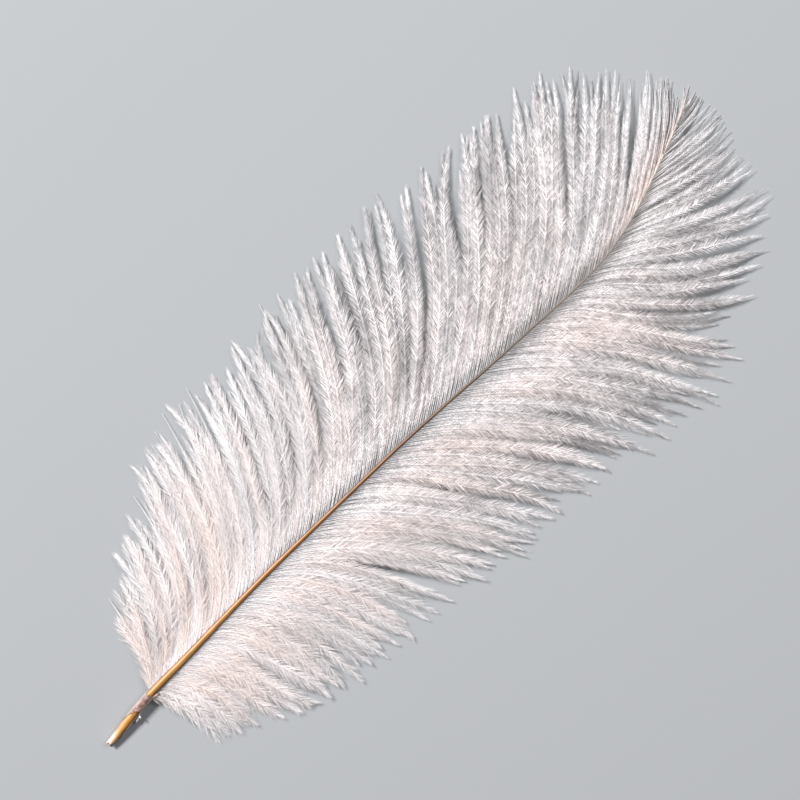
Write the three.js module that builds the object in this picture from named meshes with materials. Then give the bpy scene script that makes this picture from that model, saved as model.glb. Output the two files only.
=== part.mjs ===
// A single ostrich wing plume, lying on its underside.
//
// Millimetres, +Z up. While it is being laid out the quill's cut end is at y = 0 and the
// feather runs along +Y. The finished group is moved so that the origin is at the bottom
// centre of its box.
//
// The quill is one horn shaft: a bare calamus at the bottom, and the rachis that tapers
// from it to the tip. Each vane is the soft, closed envelope of one side's loose barbs.

import * as THREE from 'three';

// --- Driving dimensions ----------------------------------------------------------------

const FEATHER_LENGTH = 295;       // along Y, from the cut end to the tip of the rachis
const CALAMUS_RADIUS = 1.7;       // bare part of the quill
const TIP_RADIUS = 0.3;           // rachis at its tip
const VANE_FIRST = 23;            // station of the lowest barbs
const VANE_LAST = 290;            // station of the last barbs before the tip
const SHAFT_CREST = 8;            // height of the quill's centre at its highest point
const SHAFT_TIP_HEIGHT = 3;       // height of the rachis' centre at its tip
const LAYER_DEPTH = 3.6;          // depth of the layer of barbs in the middle of a vane
const EDGE_DEPTH = 1.2;           // depth of the layer at the barbs' tips
const LAYER_SINK = 0.5;           // how far the outer part of the layer is pressed flat
const DROOP_POWER = 2.2;          // how quickly the layer drops away from the quill
const SHAFT_GAP = 0.3;            // clearance between the quill and each vane

const SHAFT_SIDES = 12;
const SHAFT_STEPS = 48;
const VANE_STEPS_ALONG = 46;
const VANE_STEPS_ACROSS = 12;

// Side-to-side course of the quill: [station y, offset x].
const SHAFT_COURSE = [
  [0, 0.5], [20, -0.4], [40, 0.5], [60, 1.2], [80, 2.2], [100, 3.7], [120, 5.3],
  [140, 7.0], [160, 9.3], [180, 11.9], [200, 14.2], [220, 16.4], [232, 16.9],
  [244, 16.0], [256, 13.6], [268, 10.4], [280, 6.7], [FEATHER_LENGTH, 1.5],
];

// Radius of the quill: [station y, radius].
const SHAFT_TAPER = [
  [0, 1.5], [6, CALAMUS_RADIUS], [18, CALAMUS_RADIUS], [26, 1.3], [60, 1.0],
  [100, 0.75], [150, 0.55], [200, 0.4], [FEATHER_LENGTH, TIP_RADIUS],
];

// Course of the barbs, one row for each guide barb:
// [root station, length, heading at the root, at a third, at two thirds, at the tip].
// A heading is in degrees from +Y, turning away from the quill.
const LEFT_GUIDES = [
  [23, 30, 50, 65, 72, 75],
  [27, 45, 22, 38, 60, 75],
  [46, 62, 18, 50, 66, 82],
  [66, 70, 20, 50, 64, 70],
  [95, 75, 20, 48, 60, 67],
  [123, 80, 21, 45, 57, 56],
  [150, 85, 20, 38, 46, 50],
  [177, 84, 20, 36, 45, 47],
  [205, 84, 20, 36, 44, 46],
  [223, 70, 20, 34, 39, 38],
  [241, 57, 20, 30, 36, 38],
  [257, 41, 22, 30, 33, 42],
  [272, 27, 26, 30, 36, 42],
  [284, 14, 26, 28, 30, 32],
  [290, 8, 26, 28, 28, 28],
];

const RIGHT_GUIDES = [
  [23, 28, 55, 78, 88, 96],
  [31, 36, 45, 74, 84, 90],
  [39, 45, 36, 76, 76, 62],
  [57, 54, 34, 74, 84, 96],
  [73, 60, 30, 66, 80, 92],
  [88, 64, 28, 54, 58, 66],
  [101, 69, 30, 54, 58, 68],
  [133, 71, 30, 52, 58, 66],
  [154, 78, 30, 50, 60, 72],
  [176, 76, 30, 52, 64, 76],
  [195, 69, 28, 55, 64, 56],
  [211, 69, 28, 55, 43, 31],
  [224, 68, 28, 53, 36, 36],
  [237, 61, 25, 29, 22, 19],
  [249, 49, 16, 20, 12, 4],
  [265, 35, 10, 10, 5, -1],
  [282, 17, 4, 0, -5, -10],
  [290, 8, 0, -4, -8, -12],
];

// --- Rows and courses ------------------------------------------------------------------

// A row of a table at a station between two of its rows, by straight-line interpolation.
function rowAt(table, station) {
  const last = table.length - 1;
  let upper = 1;
  while (upper < last && table[upper][0] < station) {
    upper += 1;
  }
  const a = table[upper - 1];
  const b = table[upper];
  const share = THREE.MathUtils.clamp((station - a[0]) / (b[0] - a[0]), 0, 1);
  return a.map((value, column) => THREE.MathUtils.lerp(value, b[column], share));
}

const course = new THREE.CatmullRomCurve3(
  SHAFT_COURSE.map(([y, x]) => new THREE.Vector3(x, y, 0)),
);
const COURSE_SAMPLES = 400;
const courseTable = course.getPoints(COURSE_SAMPLES).map((point) => [point.y, point.x]);

function shaftX(station) {
  return rowAt(courseTable, station)[1];
}

function shaftRadius(station) {
  return rowAt(SHAFT_TAPER, station)[1];
}

// The quill lies on its cut end, rises to a crest past its middle and dips to the tip.
function shaftZ(station) {
  const s = station / FEATHER_LENGTH;
  const straight = THREE.MathUtils.lerp(CALAMUS_RADIUS, SHAFT_TIP_HEIGHT, s);
  const rise = SHAFT_CREST - 0.5 * (CALAMUS_RADIUS + SHAFT_TIP_HEIGHT);
  return straight + rise * Math.sin(Math.PI * s) ** 0.9;
}

// --- The quill -------------------------------------------------------------------------

function makeShaft() {
  const profile = [new THREE.Vector2(0, 0)];
  for (let i = 0; i <= SHAFT_STEPS; i += 1) {
    const y = (FEATHER_LENGTH * i) / SHAFT_STEPS;
    profile.push(new THREE.Vector2(shaftRadius(y), y));
  }
  profile.push(new THREE.Vector2(0, FEATHER_LENGTH));

  const geometry = new THREE.LatheGeometry(profile, SHAFT_SIDES);
  const position = geometry.getAttribute('position');
  for (let i = 0; i < position.count; i += 1) {
    const y = position.getY(i);
    position.setX(i, position.getX(i) + shaftX(y));
    position.setZ(i, position.getZ(i) + shaftZ(y));
  }
  geometry.computeVertexNormals();
  return geometry;
}

// --- The vanes -------------------------------------------------------------------------

// Points of one barb from the quill's side to its tip, seen from above.
function barbPath(guides, side, station) {
  const [, length, ...headings] = rowAt(guides, station);
  const bends = headings.map((heading, i) => [i / (headings.length - 1), heading]);
  const step = length / VANE_STEPS_ACROSS;
  const startX = shaftX(station) + side * (shaftRadius(station) + SHAFT_GAP);
  const path = [new THREE.Vector2(startX, station)];
  for (let i = 0; i < VANE_STEPS_ACROSS; i += 1) {
    const middle = (i + 0.5) / VANE_STEPS_ACROSS;
    const heading = THREE.MathUtils.degToRad(rowAt(bends, middle)[1]);
    const move = new THREE.Vector2(side * Math.sin(heading), Math.cos(heading));
    path.push(path[i].clone().addScaledVector(move, step));
  }
  return path;
}

// Height of the underside of the barb layer before it is pressed flat: level with the
// quill at the root, and on the ground towards the tips.
function layerLift(station, t) {
  const root = shaftZ(station) - shaftRadius(station);
  return root * (1 - t) ** DROOP_POWER;
}

// Depth of the barb layer: as deep as the quill at the root, full in the middle, thin at
// the edge.
function layerDepth(station, t) {
  const root = 2 * shaftRadius(station);
  const rising = THREE.MathUtils.smoothstep(t, 0, 0.2);
  const falling = THREE.MathUtils.smoothstep(t, 0.7, 1);
  const inner = THREE.MathUtils.lerp(root, LAYER_DEPTH, rising);
  return THREE.MathUtils.lerp(inner, EDGE_DEPTH, falling);
}

// Stations are closer together near both ends, where the outline turns quickly.
function stationAt(v) {
  const eased = THREE.MathUtils.lerp(v, THREE.MathUtils.smoothstep(v, 0, 1), 0.4);
  return THREE.MathUtils.lerp(VANE_FIRST, VANE_LAST, eased);
}

// A box of unit size whose X runs along the barbs, Y along the quill and Z through the
// layer, with every corner moved to its place.
function makeVane(guides, side) {
  const across = VANE_STEPS_ACROSS;
  const along = VANE_STEPS_ALONG;
  const geometry = new THREE.BoxGeometry(1, 1, 1, across, along, 1);
  const paths = [];
  for (let j = 0; j <= along; j += 1) {
    paths.push(barbPath(guides, side, stationAt(j / along)));
  }

  const position = geometry.getAttribute('position');
  for (let i = 0; i < position.count; i += 1) {
    // The left vane counts its columns from the other side, so its faces still point out.
    const column = Math.round((0.5 + side * position.getX(i)) * across);
    const row = Math.round((0.5 + position.getY(i)) * along);
    const t = column / across;
    const station = stationAt(row / along);
    const point = paths[row][column];
    const lift = layerLift(station, t);
    const underside = Math.max(0, lift - LAYER_SINK);
    const z = position.getZ(i) > 0 ? lift + layerDepth(station, t) : underside;
    position.setXYZ(i, point.x, point.y, z);
  }
  geometry.computeVertexNormals();
  return geometry;
}

// --- Assembly --------------------------------------------------------------------------

function part(name, geometry, color, roughness) {
  const material = new THREE.MeshStandardMaterial({ color, roughness, metalness: 0 });
  const mesh = new THREE.Mesh(geometry, material);
  mesh.name = name;
  return mesh;
}

const feather = new THREE.Group();
feather.add(
  part('shaft', makeShaft(), 0xc08a48, 0.45),
  part('vane_left', makeVane(LEFT_GUIDES, -1), 0xf3ebe7, 0.9),
  part('vane_right', makeVane(RIGHT_GUIDES, 1), 0xf3ebe7, 0.9),
);

const box = new THREE.Box3().setFromObject(feather, true);
const centre = box.getCenter(new THREE.Vector3());
feather.position.set(-centre.x, -centre.y, -box.min.z);

export default feather;
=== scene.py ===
import math

import bpy
import numpy as np
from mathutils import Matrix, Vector


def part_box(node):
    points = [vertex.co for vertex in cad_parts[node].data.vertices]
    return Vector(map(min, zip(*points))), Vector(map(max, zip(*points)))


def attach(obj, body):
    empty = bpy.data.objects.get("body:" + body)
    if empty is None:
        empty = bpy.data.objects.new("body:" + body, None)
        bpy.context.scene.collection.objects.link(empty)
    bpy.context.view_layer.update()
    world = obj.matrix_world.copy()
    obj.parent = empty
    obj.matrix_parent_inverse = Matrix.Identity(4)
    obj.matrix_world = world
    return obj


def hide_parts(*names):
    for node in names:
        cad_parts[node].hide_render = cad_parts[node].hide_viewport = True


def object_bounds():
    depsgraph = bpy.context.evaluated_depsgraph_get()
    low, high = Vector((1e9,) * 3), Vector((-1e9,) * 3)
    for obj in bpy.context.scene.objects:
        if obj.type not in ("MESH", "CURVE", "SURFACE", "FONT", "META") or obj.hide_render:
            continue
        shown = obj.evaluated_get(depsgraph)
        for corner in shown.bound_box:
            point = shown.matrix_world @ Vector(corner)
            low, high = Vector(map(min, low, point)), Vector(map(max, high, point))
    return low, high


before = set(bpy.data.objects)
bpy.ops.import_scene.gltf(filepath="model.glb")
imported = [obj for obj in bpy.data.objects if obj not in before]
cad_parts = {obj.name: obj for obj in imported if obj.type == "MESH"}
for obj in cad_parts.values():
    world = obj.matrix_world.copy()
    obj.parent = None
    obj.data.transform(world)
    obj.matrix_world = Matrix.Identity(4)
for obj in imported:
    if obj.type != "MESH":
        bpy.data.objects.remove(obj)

cad_low, cad_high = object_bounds()

# --------------------------------------
# The table top and the light
# The feather lies on a plain pale sheet. A soft light shines on it from the upper left of
# the picture, and a weaker one from the upper right. The room itself adds very little.
# --------------------------------------

PICTURE_TURN = 41.5  # degrees by which the picture is turned about the vertical
SHEET_HALF = 12.0  # metres from the middle to each side
SHEET_COLOUR = (0.290, 0.298, 0.310, 1.0)
ROOM_COLOUR = (0.95, 0.97, 1.0, 1.0)
ROOM_STRENGTH = 0.08

# Each light's distance in metres to the picture's right, up the picture and above the
# table, then its size and its power.
LIGHTS = {"key": (-1.8, 1.3, 2.1, 0.7, 187.0), "fill": (1.1, 0.7, 1.7, 1.2, 22.0)}


def new_material(name, roughness):
    """A Principled material and its shader node."""
    material = bpy.data.materials.new(name)
    material.use_nodes = True
    shader = material.node_tree.nodes["Principled BSDF"]
    shader.inputs["Roughness"].default_value = roughness
    return material, shader


def new_piece(name, vertices, faces, material):
    """A mesh object at the origin, with one material and smooth faces."""
    mesh = bpy.data.meshes.new(name)
    mesh.from_pydata([tuple(v) for v in vertices], [], [tuple(f) for f in faces])
    mesh.materials.append(material)
    mesh.polygons.foreach_set("use_smooth", [True] * len(mesh.polygons))
    mesh.update()
    piece = bpy.data.objects.new(name, mesh)
    bpy.context.collection.objects.link(piece)
    return piece


sheet_material, sheet_shader = new_material("pale_sheet", roughness=0.9)
sheet_shader.inputs["Base Color"].default_value = SHEET_COLOUR
corners = [(-1, -1), (1, -1), (1, 1), (-1, 1)]
sheet = new_piece(
    "sheet",
    [(x * SHEET_HALF, y * SHEET_HALF, cad_low.z) for x, y in corners],
    [(0, 1, 2, 3)],
    sheet_material,
)

turn = math.radians(PICTURE_TURN)
picture_up = Vector((-math.sin(turn), math.cos(turn), 0))
picture_right = Vector((math.cos(turn), math.sin(turn), 0))
for name, (right, up, height, size, power) in LIGHTS.items():
    lamp = bpy.data.lights.new(name, "AREA")
    lamp.shape = "SQUARE"
    lamp.size = size
    lamp.energy = power
    light = bpy.data.objects.new(name, lamp)
    light.location = picture_right * right + picture_up * up + Vector((0, 0, height))
    light.rotation_euler = (-light.location).to_track_quat("-Z", "Y").to_euler()
    bpy.context.collection.objects.link(light)

world = bpy.data.worlds.new("room")
bpy.context.scene.world = world
world.use_nodes = True
room = world.node_tree.nodes["Background"]
room.inputs["Color"].default_value = ROOM_COLOUR
room.inputs["Strength"].default_value = ROOM_STRENGTH
bpy.context.scene.view_settings.view_transform = "Standard"

# --------------------------------------
# The quill
# One continuous shaft of horn: a bare round calamus, broken off ragged and hollow at its
# end, that becomes the tapering rachis, rounded on top and grooved underneath. It bends
# slightly to one side, and arches up off the table along its middle.
# --------------------------------------

MM = 0.001  # sizes are in millimetres, and stations run along Y from the cut end
FEATHER_LENGTH = 295.0
SHAFT_END_HEIGHT = 1.3  # height of the quill's centre at its cut end
SHAFT_CREST = 8.0
SHAFT_TIP_HEIGHT = 3.0
ARCH_POWER = 0.9  # below 1, the arch rises sooner from both ends
SHAFT_SIDES = 32
SHAFT_STEP = 1.5
RACHIS_FROM = 24.0  # between these stations the calamus becomes the rachis
RACHIS_FULL = 40.0
RACHIS_SQUASH = 0.10  # how much flatter than round the rachis is
GROOVE_DEPTH = 0.30  # share of the radius
GROOVE_WIDTH = 0.42  # radians
BEND_REACH = 17.28  # furthest reach of the bend towards +X
BORE_DEPTH = 5.0
BORE_SHARE = 0.72  # the bore's share of the radius
SLANT = 1.7  # how much shorter the broken end is on the right
NOTCH_DEPTH = 1.1
NOTCH_ANGLE = 2.0  # radians from +X
NOTCH_WIDTH = 0.22
SPLINTERS = (-0.7, -0.2)  # how far past the break they reach, longest and shortest
QUILL_SEED = 11

# Side-to-side course of the quill: station along Y, offset along X.
SHAFT_COURSE = [
    (0, 0.5), (20, -0.4), (40, 0.5), (60, 1.2), (80, 2.2), (100, 3.7), (120, 5.3),
    (140, 7.0), (160, 9.3), (180, 11.9), (200, 14.2), (220, 16.4), (232, 16.9),
    (244, 16.0), (256, 13.6), (268, 10.4), (280, 6.7), (295, 1.5),
]

# Radius of the quill at a station.
SHAFT_TAPER = [
    (0, 1.22), (3, 1.34), (9, 1.45), (17, 1.5), (23, 1.38), (30, 1.3), (45, 1.17),
    (65, 0.98), (100, 0.80), (132, 0.66), (150, 0.55), (200, 0.36), (240, 0.24), (295, 0.12),
]


def smooth(low, high, x):
    """Rises smoothly from 0 at low to 1 at high."""
    s = np.clip((x - low) / (high - low), 0, 1)
    return s * s * (3 - 2 * s)


def between(table, x):
    """A value at x by straight lines between a table's rows."""
    known, value = np.array(table, float).T
    return np.interp(x, known, value)


def curve_through(table, stations):
    """A smooth curve through a table's rows, each slope set by its two neighbours."""
    y, x = np.array(table, float).T
    slope = np.gradient(x, y)
    stations = np.clip(stations, y[0], y[-1])
    i = np.clip(np.searchsorted(y, stations) - 1, 0, len(y) - 2)
    gap = y[i + 1] - y[i]
    s = (stations - y[i]) / gap
    return (
        (1 + 2 * s) * (1 - s) ** 2 * x[i]
        + s * (1 - s) ** 2 * gap * slope[i]
        + s * s * (3 - 2 * s) * x[i + 1]
        + s * s * (s - 1) * gap * slope[i + 1]
    )


def shaft_radius(stations):
    """Radius of the quill."""
    return between(SHAFT_TAPER, stations)


def shaft_height(stations):
    """Height of the quill's centre, which arches up between its two ends."""
    s = np.asarray(stations, float) / FEATHER_LENGTH
    straight = SHAFT_END_HEIGHT + (SHAFT_TIP_HEIGHT - SHAFT_END_HEIGHT) * s
    rise = SHAFT_CREST - 0.5 * (SHAFT_END_HEIGHT + SHAFT_TIP_HEIGHT)
    return straight + rise * np.sin(np.pi * np.clip(s, 0, 1)) ** ARCH_POWER


# The tables have the quill's cut end at y = 0. The frame's box of the shaft gives its
# place: that end, and the furthest reach of its bend towards +X.
shaft_low, shaft_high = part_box("shaft")
shift = np.array([shaft_high.x / MM - BEND_REACH, shaft_low.y / MM, cad_low.z / MM])


def placed(points):
    """Layout millimetres to the frame's metres."""
    return (np.asarray(points, float) + shift) * MM


def quill_skin(stations, angles, stand_off=0.0):
    """Points of the quill's skin in millimetres, for stations and angles that broadcast.
    Angles run from +X round by +Z."""
    y, a = np.broadcast_arrays(np.asarray(stations, float), angles)
    on_rachis = smooth(RACHIS_FROM, RACHIS_FULL, y)
    below = np.exp(-(((np.mod(a, 2 * np.pi) - 1.5 * np.pi) / GROOVE_WIDTH) ** 2))
    radius = shaft_radius(y) * (1 - GROOVE_DEPTH * on_rachis * below) + stand_off
    squash = 1 - RACHIS_SQUASH * on_rachis
    x = curve_through(SHAFT_COURSE, y) + radius * np.cos(a)
    z = shaft_height(y) + radius * squash * np.sin(a)
    return np.stack([x, y, z], axis=-1)


def ring_faces(rings, sides, to_first=False):
    """Quads between neighbouring rings of points, and from the last to the first if asked."""
    faces = []
    for i in range(rings if to_first else rings - 1):
        near = i * sides
        far = (i + 1) % rings * sides
        for j in range(sides):
            k = (j + 1) % sides
            faces.append((near + j, far + j, far + k, near + k))
    return faces


def capped_rings(rings, sides):
    """Faces of a closed tube: the quads between its rings, and a cap at each end."""
    last = (rings - 1) * sides
    ends = [tuple(range(sides)), tuple(range(last, last + sides))[::-1]]
    return ring_faces(rings, sides) + ends


def mark(mesh, name, values):
    """Stores a value for each vertex under a name."""
    attribute = mesh.attributes.new(name, "FLOAT", "POINT")
    attribute.data.foreach_set("value", np.ravel(values).astype(np.float32))


def quill_shell(angles):
    """Rings of points from the bottom of the bore, over the broken rim and on to the tip,
    with each ring's share of the way along the feather."""
    rng = np.random.default_rng(QUILL_SEED)
    near_rim = [0.0, 0.7, 1.6, 2.6, 3.8]
    beyond = np.arange(5, FEATHER_LENGTH, SHAFT_STEP)
    outer_stations = np.concatenate([near_rim, beyond, [FEATHER_LENGTH]])
    outer = quill_skin(outer_stations[:, None], angles[None, :])
    bore_stations = np.array([BORE_DEPTH, BORE_DEPTH * 0.55, 0.9, 0.0])
    bore = quill_skin(bore_stations[:, None], angles[None, :])
    for i, station in enumerate(bore_stations):
        axis = np.array([curve_through(SHAFT_COURSE, station), station, shaft_height(station)])
        bore[i] = axis + (bore[i] - axis) * BORE_SHARE

    # The broken rim slants, and has splinters with a notch between its two longest ones.
    notch = NOTCH_DEPTH * np.exp(-(((angles - NOTCH_ANGLE) / NOTCH_WIDTH) ** 2))
    splinters = rng.uniform(*SPLINTERS, SHAFT_SIDES)
    rim = SLANT * smooth(-0.2, 1.0, np.cos(angles)) + notch + splinters
    for i, share in enumerate((1.0, 0.8, 0.5, 0.2)):
        outer[i, :, 1] += rim * share
    bore[-1, :, 1] += rim + 0.05
    bore[-2, :, 1] += rim * 0.8
    along = np.concatenate([bore_stations * 0, outer_stations]) / FEATHER_LENGTH
    return np.concatenate([bore, outer]), along


def feed(tree, socket, value):
    """Links a socket to another socket, or sets it to a plain value."""
    if isinstance(value, bpy.types.NodeSocket):
        tree.links.new(value, socket)
    else:
        socket.default_value = value


def in_use(sockets, name):
    """The socket of a name that the node's settings have switched on."""
    return next(s for s in sockets if s.name == name and s.enabled)


def add(tree, kind, inputs=None, **settings):
    """A new node with its settings and inputs."""
    node = tree.nodes.new(kind)
    for name, value in settings.items():
        setattr(node, name, value)
    for name, value in (inputs or {}).items():
        feed(tree, in_use(node.inputs, name), value)
    return node


def mapped(tree, value, from_low, from_high, to_low=0.0, to_high=1.0):
    """A value moved from one range to another and held inside it."""
    ends = {"From Min": from_low, "From Max": from_high, "To Min": to_low, "To Max": to_high}
    node = add(tree, "ShaderNodeMapRange", {"Value": value, **ends}, clamp=True)
    return node.outputs["Result"]


def maths(tree, operation, a, b=0.0):
    """The result of a Math node on two values or sockets."""
    node = add(tree, "ShaderNodeMath", operation=operation)
    feed(tree, node.inputs[0], a)
    feed(tree, node.inputs[1], b)
    return node.outputs[0]


def times(tree, a, b):
    """Two values multiplied."""
    return maths(tree, "MULTIPLY", a, b)


def added(tree, a, b):
    """Two values added."""
    return maths(tree, "ADD", a, b)


def minus(tree, a, b):
    """One value less another."""
    return maths(tree, "SUBTRACT", a, b)


def blended(tree, share, a, b, how="MIX"):
    """One colour laid over another by a share."""
    settings = {"data_type": "RGBA", "blend_type": how, "clamp_factor": True}
    node = add(tree, "ShaderNodeMix", {"Factor": share, "A": a, "B": b}, **settings)
    return in_use(node.outputs, "Result")


def grey(tree, value):
    """A value as a grey colour."""
    node = add(tree, "ShaderNodeCombineColor")
    for socket in node.inputs:
        feed(tree, socket, value)
    return node.outputs[0]


def noise(tree, vector, stretch, detail):
    """A noise texture's value on a stretched vector."""
    spread = add(tree, "ShaderNodeMapping", {"Vector": vector, "Scale": stretch}).outputs[0]
    inputs = {"Vector": spread, "Scale": 1.0, "Detail": detail}
    return add(tree, "ShaderNodeTexNoise", inputs).outputs["Fac"]


def colour_ramp(tree, value, stops):
    """A colour ramp with (position, colour) stops."""
    node = add(tree, "ShaderNodeValToRGB", {"Fac": value})
    ramp = node.color_ramp
    while len(ramp.elements) < len(stops):
        ramp.elements.new(0.5)
    for element, (position, colour) in zip(ramp.elements, stops):
        element.position = position
        element.color = (*colour, 1.0)
    return node.outputs["Color"]


def own_value(tree, name):
    """A value that a piece stores for each of its points."""
    return add(tree, "ShaderNodeAttribute", attribute_name=name).outputs["Fac"]


def bumped(tree, shader, height, strength, distance):
    """Raises a material's surface by a pattern."""
    inputs = {"Height": height, "Strength": strength, "Distance": distance}
    feed(tree, shader.inputs["Normal"], add(tree, "ShaderNodeBump", inputs).outputs[0])


def make_horn():
    """Gold horn that turns brown along the middle and beige at the tip, with a painted cream
    highlight on its left.
    The rachis has a dark line down each edge, partly its own colour and partly painted shade,
    broader on the right."""
    material, shader = new_material("quill_horn", roughness=0.36)
    tree = material.node_tree
    place = add(tree, "ShaderNodeTexCoord").outputs["Object"]
    along = own_value(tree, "along")
    across = own_value(tree, "across")
    centre = colour_ramp(tree, along, [
        (0.000, (0.58, 0.42, 0.30)), (0.010, (0.55, 0.34, 0.17)), (0.018, (0.50, 0.26, 0.08)),
        (0.030, (0.44, 0.20, 0.045)), (0.060, (0.38, 0.165, 0.040)), (0.085, (0.40, 0.195, 0.055)),
        (0.200, (0.30, 0.135, 0.034)), (0.300, (0.24, 0.098, 0.023)), (0.440, (0.18, 0.078, 0.028)),
        (0.510, (0.125, 0.068, 0.036)), (0.580, (0.12, 0.078, 0.046)), (0.640, (0.13, 0.098, 0.074)),
        (0.710, (0.17, 0.135, 0.100)), (0.820, (0.18, 0.160, 0.142)), (1.000, (0.27, 0.250, 0.235)),
    ])
    # Across the quill, from its left (0) to its right (1), these ramps paint a highlight on the side
    # and top that face the light. They darken towards the edges, the right one most. The dark edges
    # are partly the horn's own colour and partly painted shade.
    bare = colour_ramp(tree, across, [
        (0.00, (1.00, 0.92, 0.80)), (0.10, (1.15, 1.45, 2.60)), (0.30, (1.15, 1.45, 2.60)),
        (0.52, (1.00, 1.00, 1.00)), (0.84, (0.80, 0.72, 0.50)), (0.93, (0.45, 0.34, 0.22)),
        (1.00, (0.60, 0.48, 0.36)),
    ])
    edged_with_highlight = colour_ramp(tree, across, [
        (0.00, (0.50, 0.42, 0.36)), (0.06, (0.55, 0.46, 0.40)), (0.14, (1.35, 1.30, 1.80)),
        (0.30, (1.25, 1.22, 1.50)), (0.52, (1.00, 1.00, 1.00)), (0.80, (0.88, 0.84, 0.74)),
        (0.90, (0.34, 0.24, 0.18)), (1.00, (0.25, 0.17, 0.12)),
    ])
    lined = colour_ramp(tree, across, [
        (0.00, (0.50, 0.44, 0.40)), (0.18, (0.60, 0.52, 0.46)), (0.38, (1.10, 1.10, 1.15)),
        (0.66, (1.10, 1.08, 1.06)), (0.84, (0.50, 0.42, 0.36)), (1.00, (0.36, 0.30, 0.27)),
    ])
    # The rachis has dark edges, partly its own colour and partly painted shade. They close in on it
    # as it narrows and fade near its tip, as does the painted highlight.
    even = (1.0, 1.0, 1.0, 1.0)
    shape = blended(tree, mapped(tree, along, 0.068, 0.085), bare, edged_with_highlight)
    shape = blended(tree, mapped(tree, along, 0.27, 0.42), shape, lined)
    shape = blended(tree, mapped(tree, along, 0.60, 0.78, 0.0, 0.75), shape, even)
    fibres = noise(tree, place, (2600, 60, 2600), 2.0)
    rings = noise(tree, place, (60, 1500, 60), 1.0)
    patches = noise(tree, place, (420, 130, 420), 2.0)
    colour = blended(tree, 1.0, centre, shape, "MULTIPLY")
    tone = times(tree, mapped(tree, fibres, 0.3, 0.7, 0.86, 1.10),
                 mapped(tree, rings, 0.3, 0.7, 0.93, 1.05))
    tone = times(tree, tone, mapped(tree, patches, 0.3, 0.7, 0.80, 1.18))
    colour = blended(tree, 1.0, colour, grey(tree, tone), "MULTIPLY")
    # The broken end is chalky, most of all on its left.
    end = mapped(tree, along, 0.022, 0.006)
    on_left = mapped(tree, added(tree, across, times(tree, patches, 0.5)), 0.85, 0.45, 0.0, 0.7)
    colour = blended(tree, times(tree, end, on_left), colour, (0.52, 0.42, 0.38, 1.0))
    feed(tree, shader.inputs["Base Color"], colour)
    ridges = added(tree, fibres, times(tree, rings, 0.6))
    bumped(tree, shader, ridges, strength=0.4, distance=0.05 * MM)
    shader.inputs["Specular IOR Level"].default_value = 0.4
    return material


quill_angles = np.arange(SHAFT_SIDES) * 2 * np.pi / SHAFT_SIDES
shell, shell_along = quill_shell(quill_angles)
shell_faces = capped_rings(len(shell), SHAFT_SIDES)
quill = new_piece("quill", placed(shell.reshape(-1, 3)), shell_faces, make_horn())
mark(quill.data, "along", np.broadcast_to(shell_along[:, None], shell.shape[:2]))
mark(quill.data, "across", np.broadcast_to(0.5 + 0.5 * np.cos(quill_angles), shell.shape[:2]))
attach(quill, "root")
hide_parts("shaft")

# --------------------------------------
# The skin on the calamus
# A thin, dried remnant of the follicle's skin, still stuck round the top of the calamus.
# Its edge is torn: it reaches further down on the left, and as a narrow strip on the right.
# --------------------------------------

SKIN_THICKNESS = 0.13
SKIN_ACROSS = 72
SKIN_ALONG = 14
SKIN_SEED = 3
WEB_HEIGHT = 0.55  # of the fold of skin at the lowest barbs on the right

# Lower and upper torn edges by angle, from the right flank (0) over the top (90).
SKIN_LOW = [(-90, 17), (-45, 11), (-20, 4.5), (8, 3.4), (20, 5.0), (30, 14.2), (52, 15.0),
            (78, 14.8), (96, 14.0), (120, 12.4), (150, 11.0), (185, 9.6), (215, 13), (270, 17)]
SKIN_HIGH = [(-90, 20), (-20, 24), (12, 24.0), (26, 22.3), (60, 22.0), (90, 21.6), (125, 21.2),
             (152, 21.6), (166, 23.4), (190, 25.0), (270, 20)]


def skin_band():
    """The torn skin as a closed shell: its outside, its inside and its rim."""
    rng = np.random.default_rng(SKIN_SEED)
    degrees = np.linspace(-90, 270, SKIN_ACROSS, endpoint=False)
    low = between(SKIN_LOW, degrees) + rng.uniform(-0.6, 0.6, SKIN_ACROSS)
    high = between(SKIN_HIGH, degrees) + rng.uniform(-0.3, 0.3, SKIN_ACROSS)
    share = np.linspace(0, 1, SKIN_ALONG)[:, None]
    stations = low + (high - low) * share
    turn_by = np.radians(degrees)[None, :]
    crinkle = rng.uniform(-0.03, 0.05, stations.shape)
    on_flank = np.exp(-(((degrees - 4) / 16) ** 2))
    web = WEB_HEIGHT * smooth(17.5, 24, stations) ** 2 * on_flank
    lifted = np.where((share == 0) | (share == 1), 0.06, crinkle) + web
    outside = quill_skin(stations, turn_by, SKIN_THICKNESS + lifted)
    inside = quill_skin(stations, turn_by, 0.01)
    points = np.concatenate([outside, inside[::-1]])
    return points.reshape(-1, 3), ring_faces(len(points), SKIN_ACROSS, to_first=True)


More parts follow.
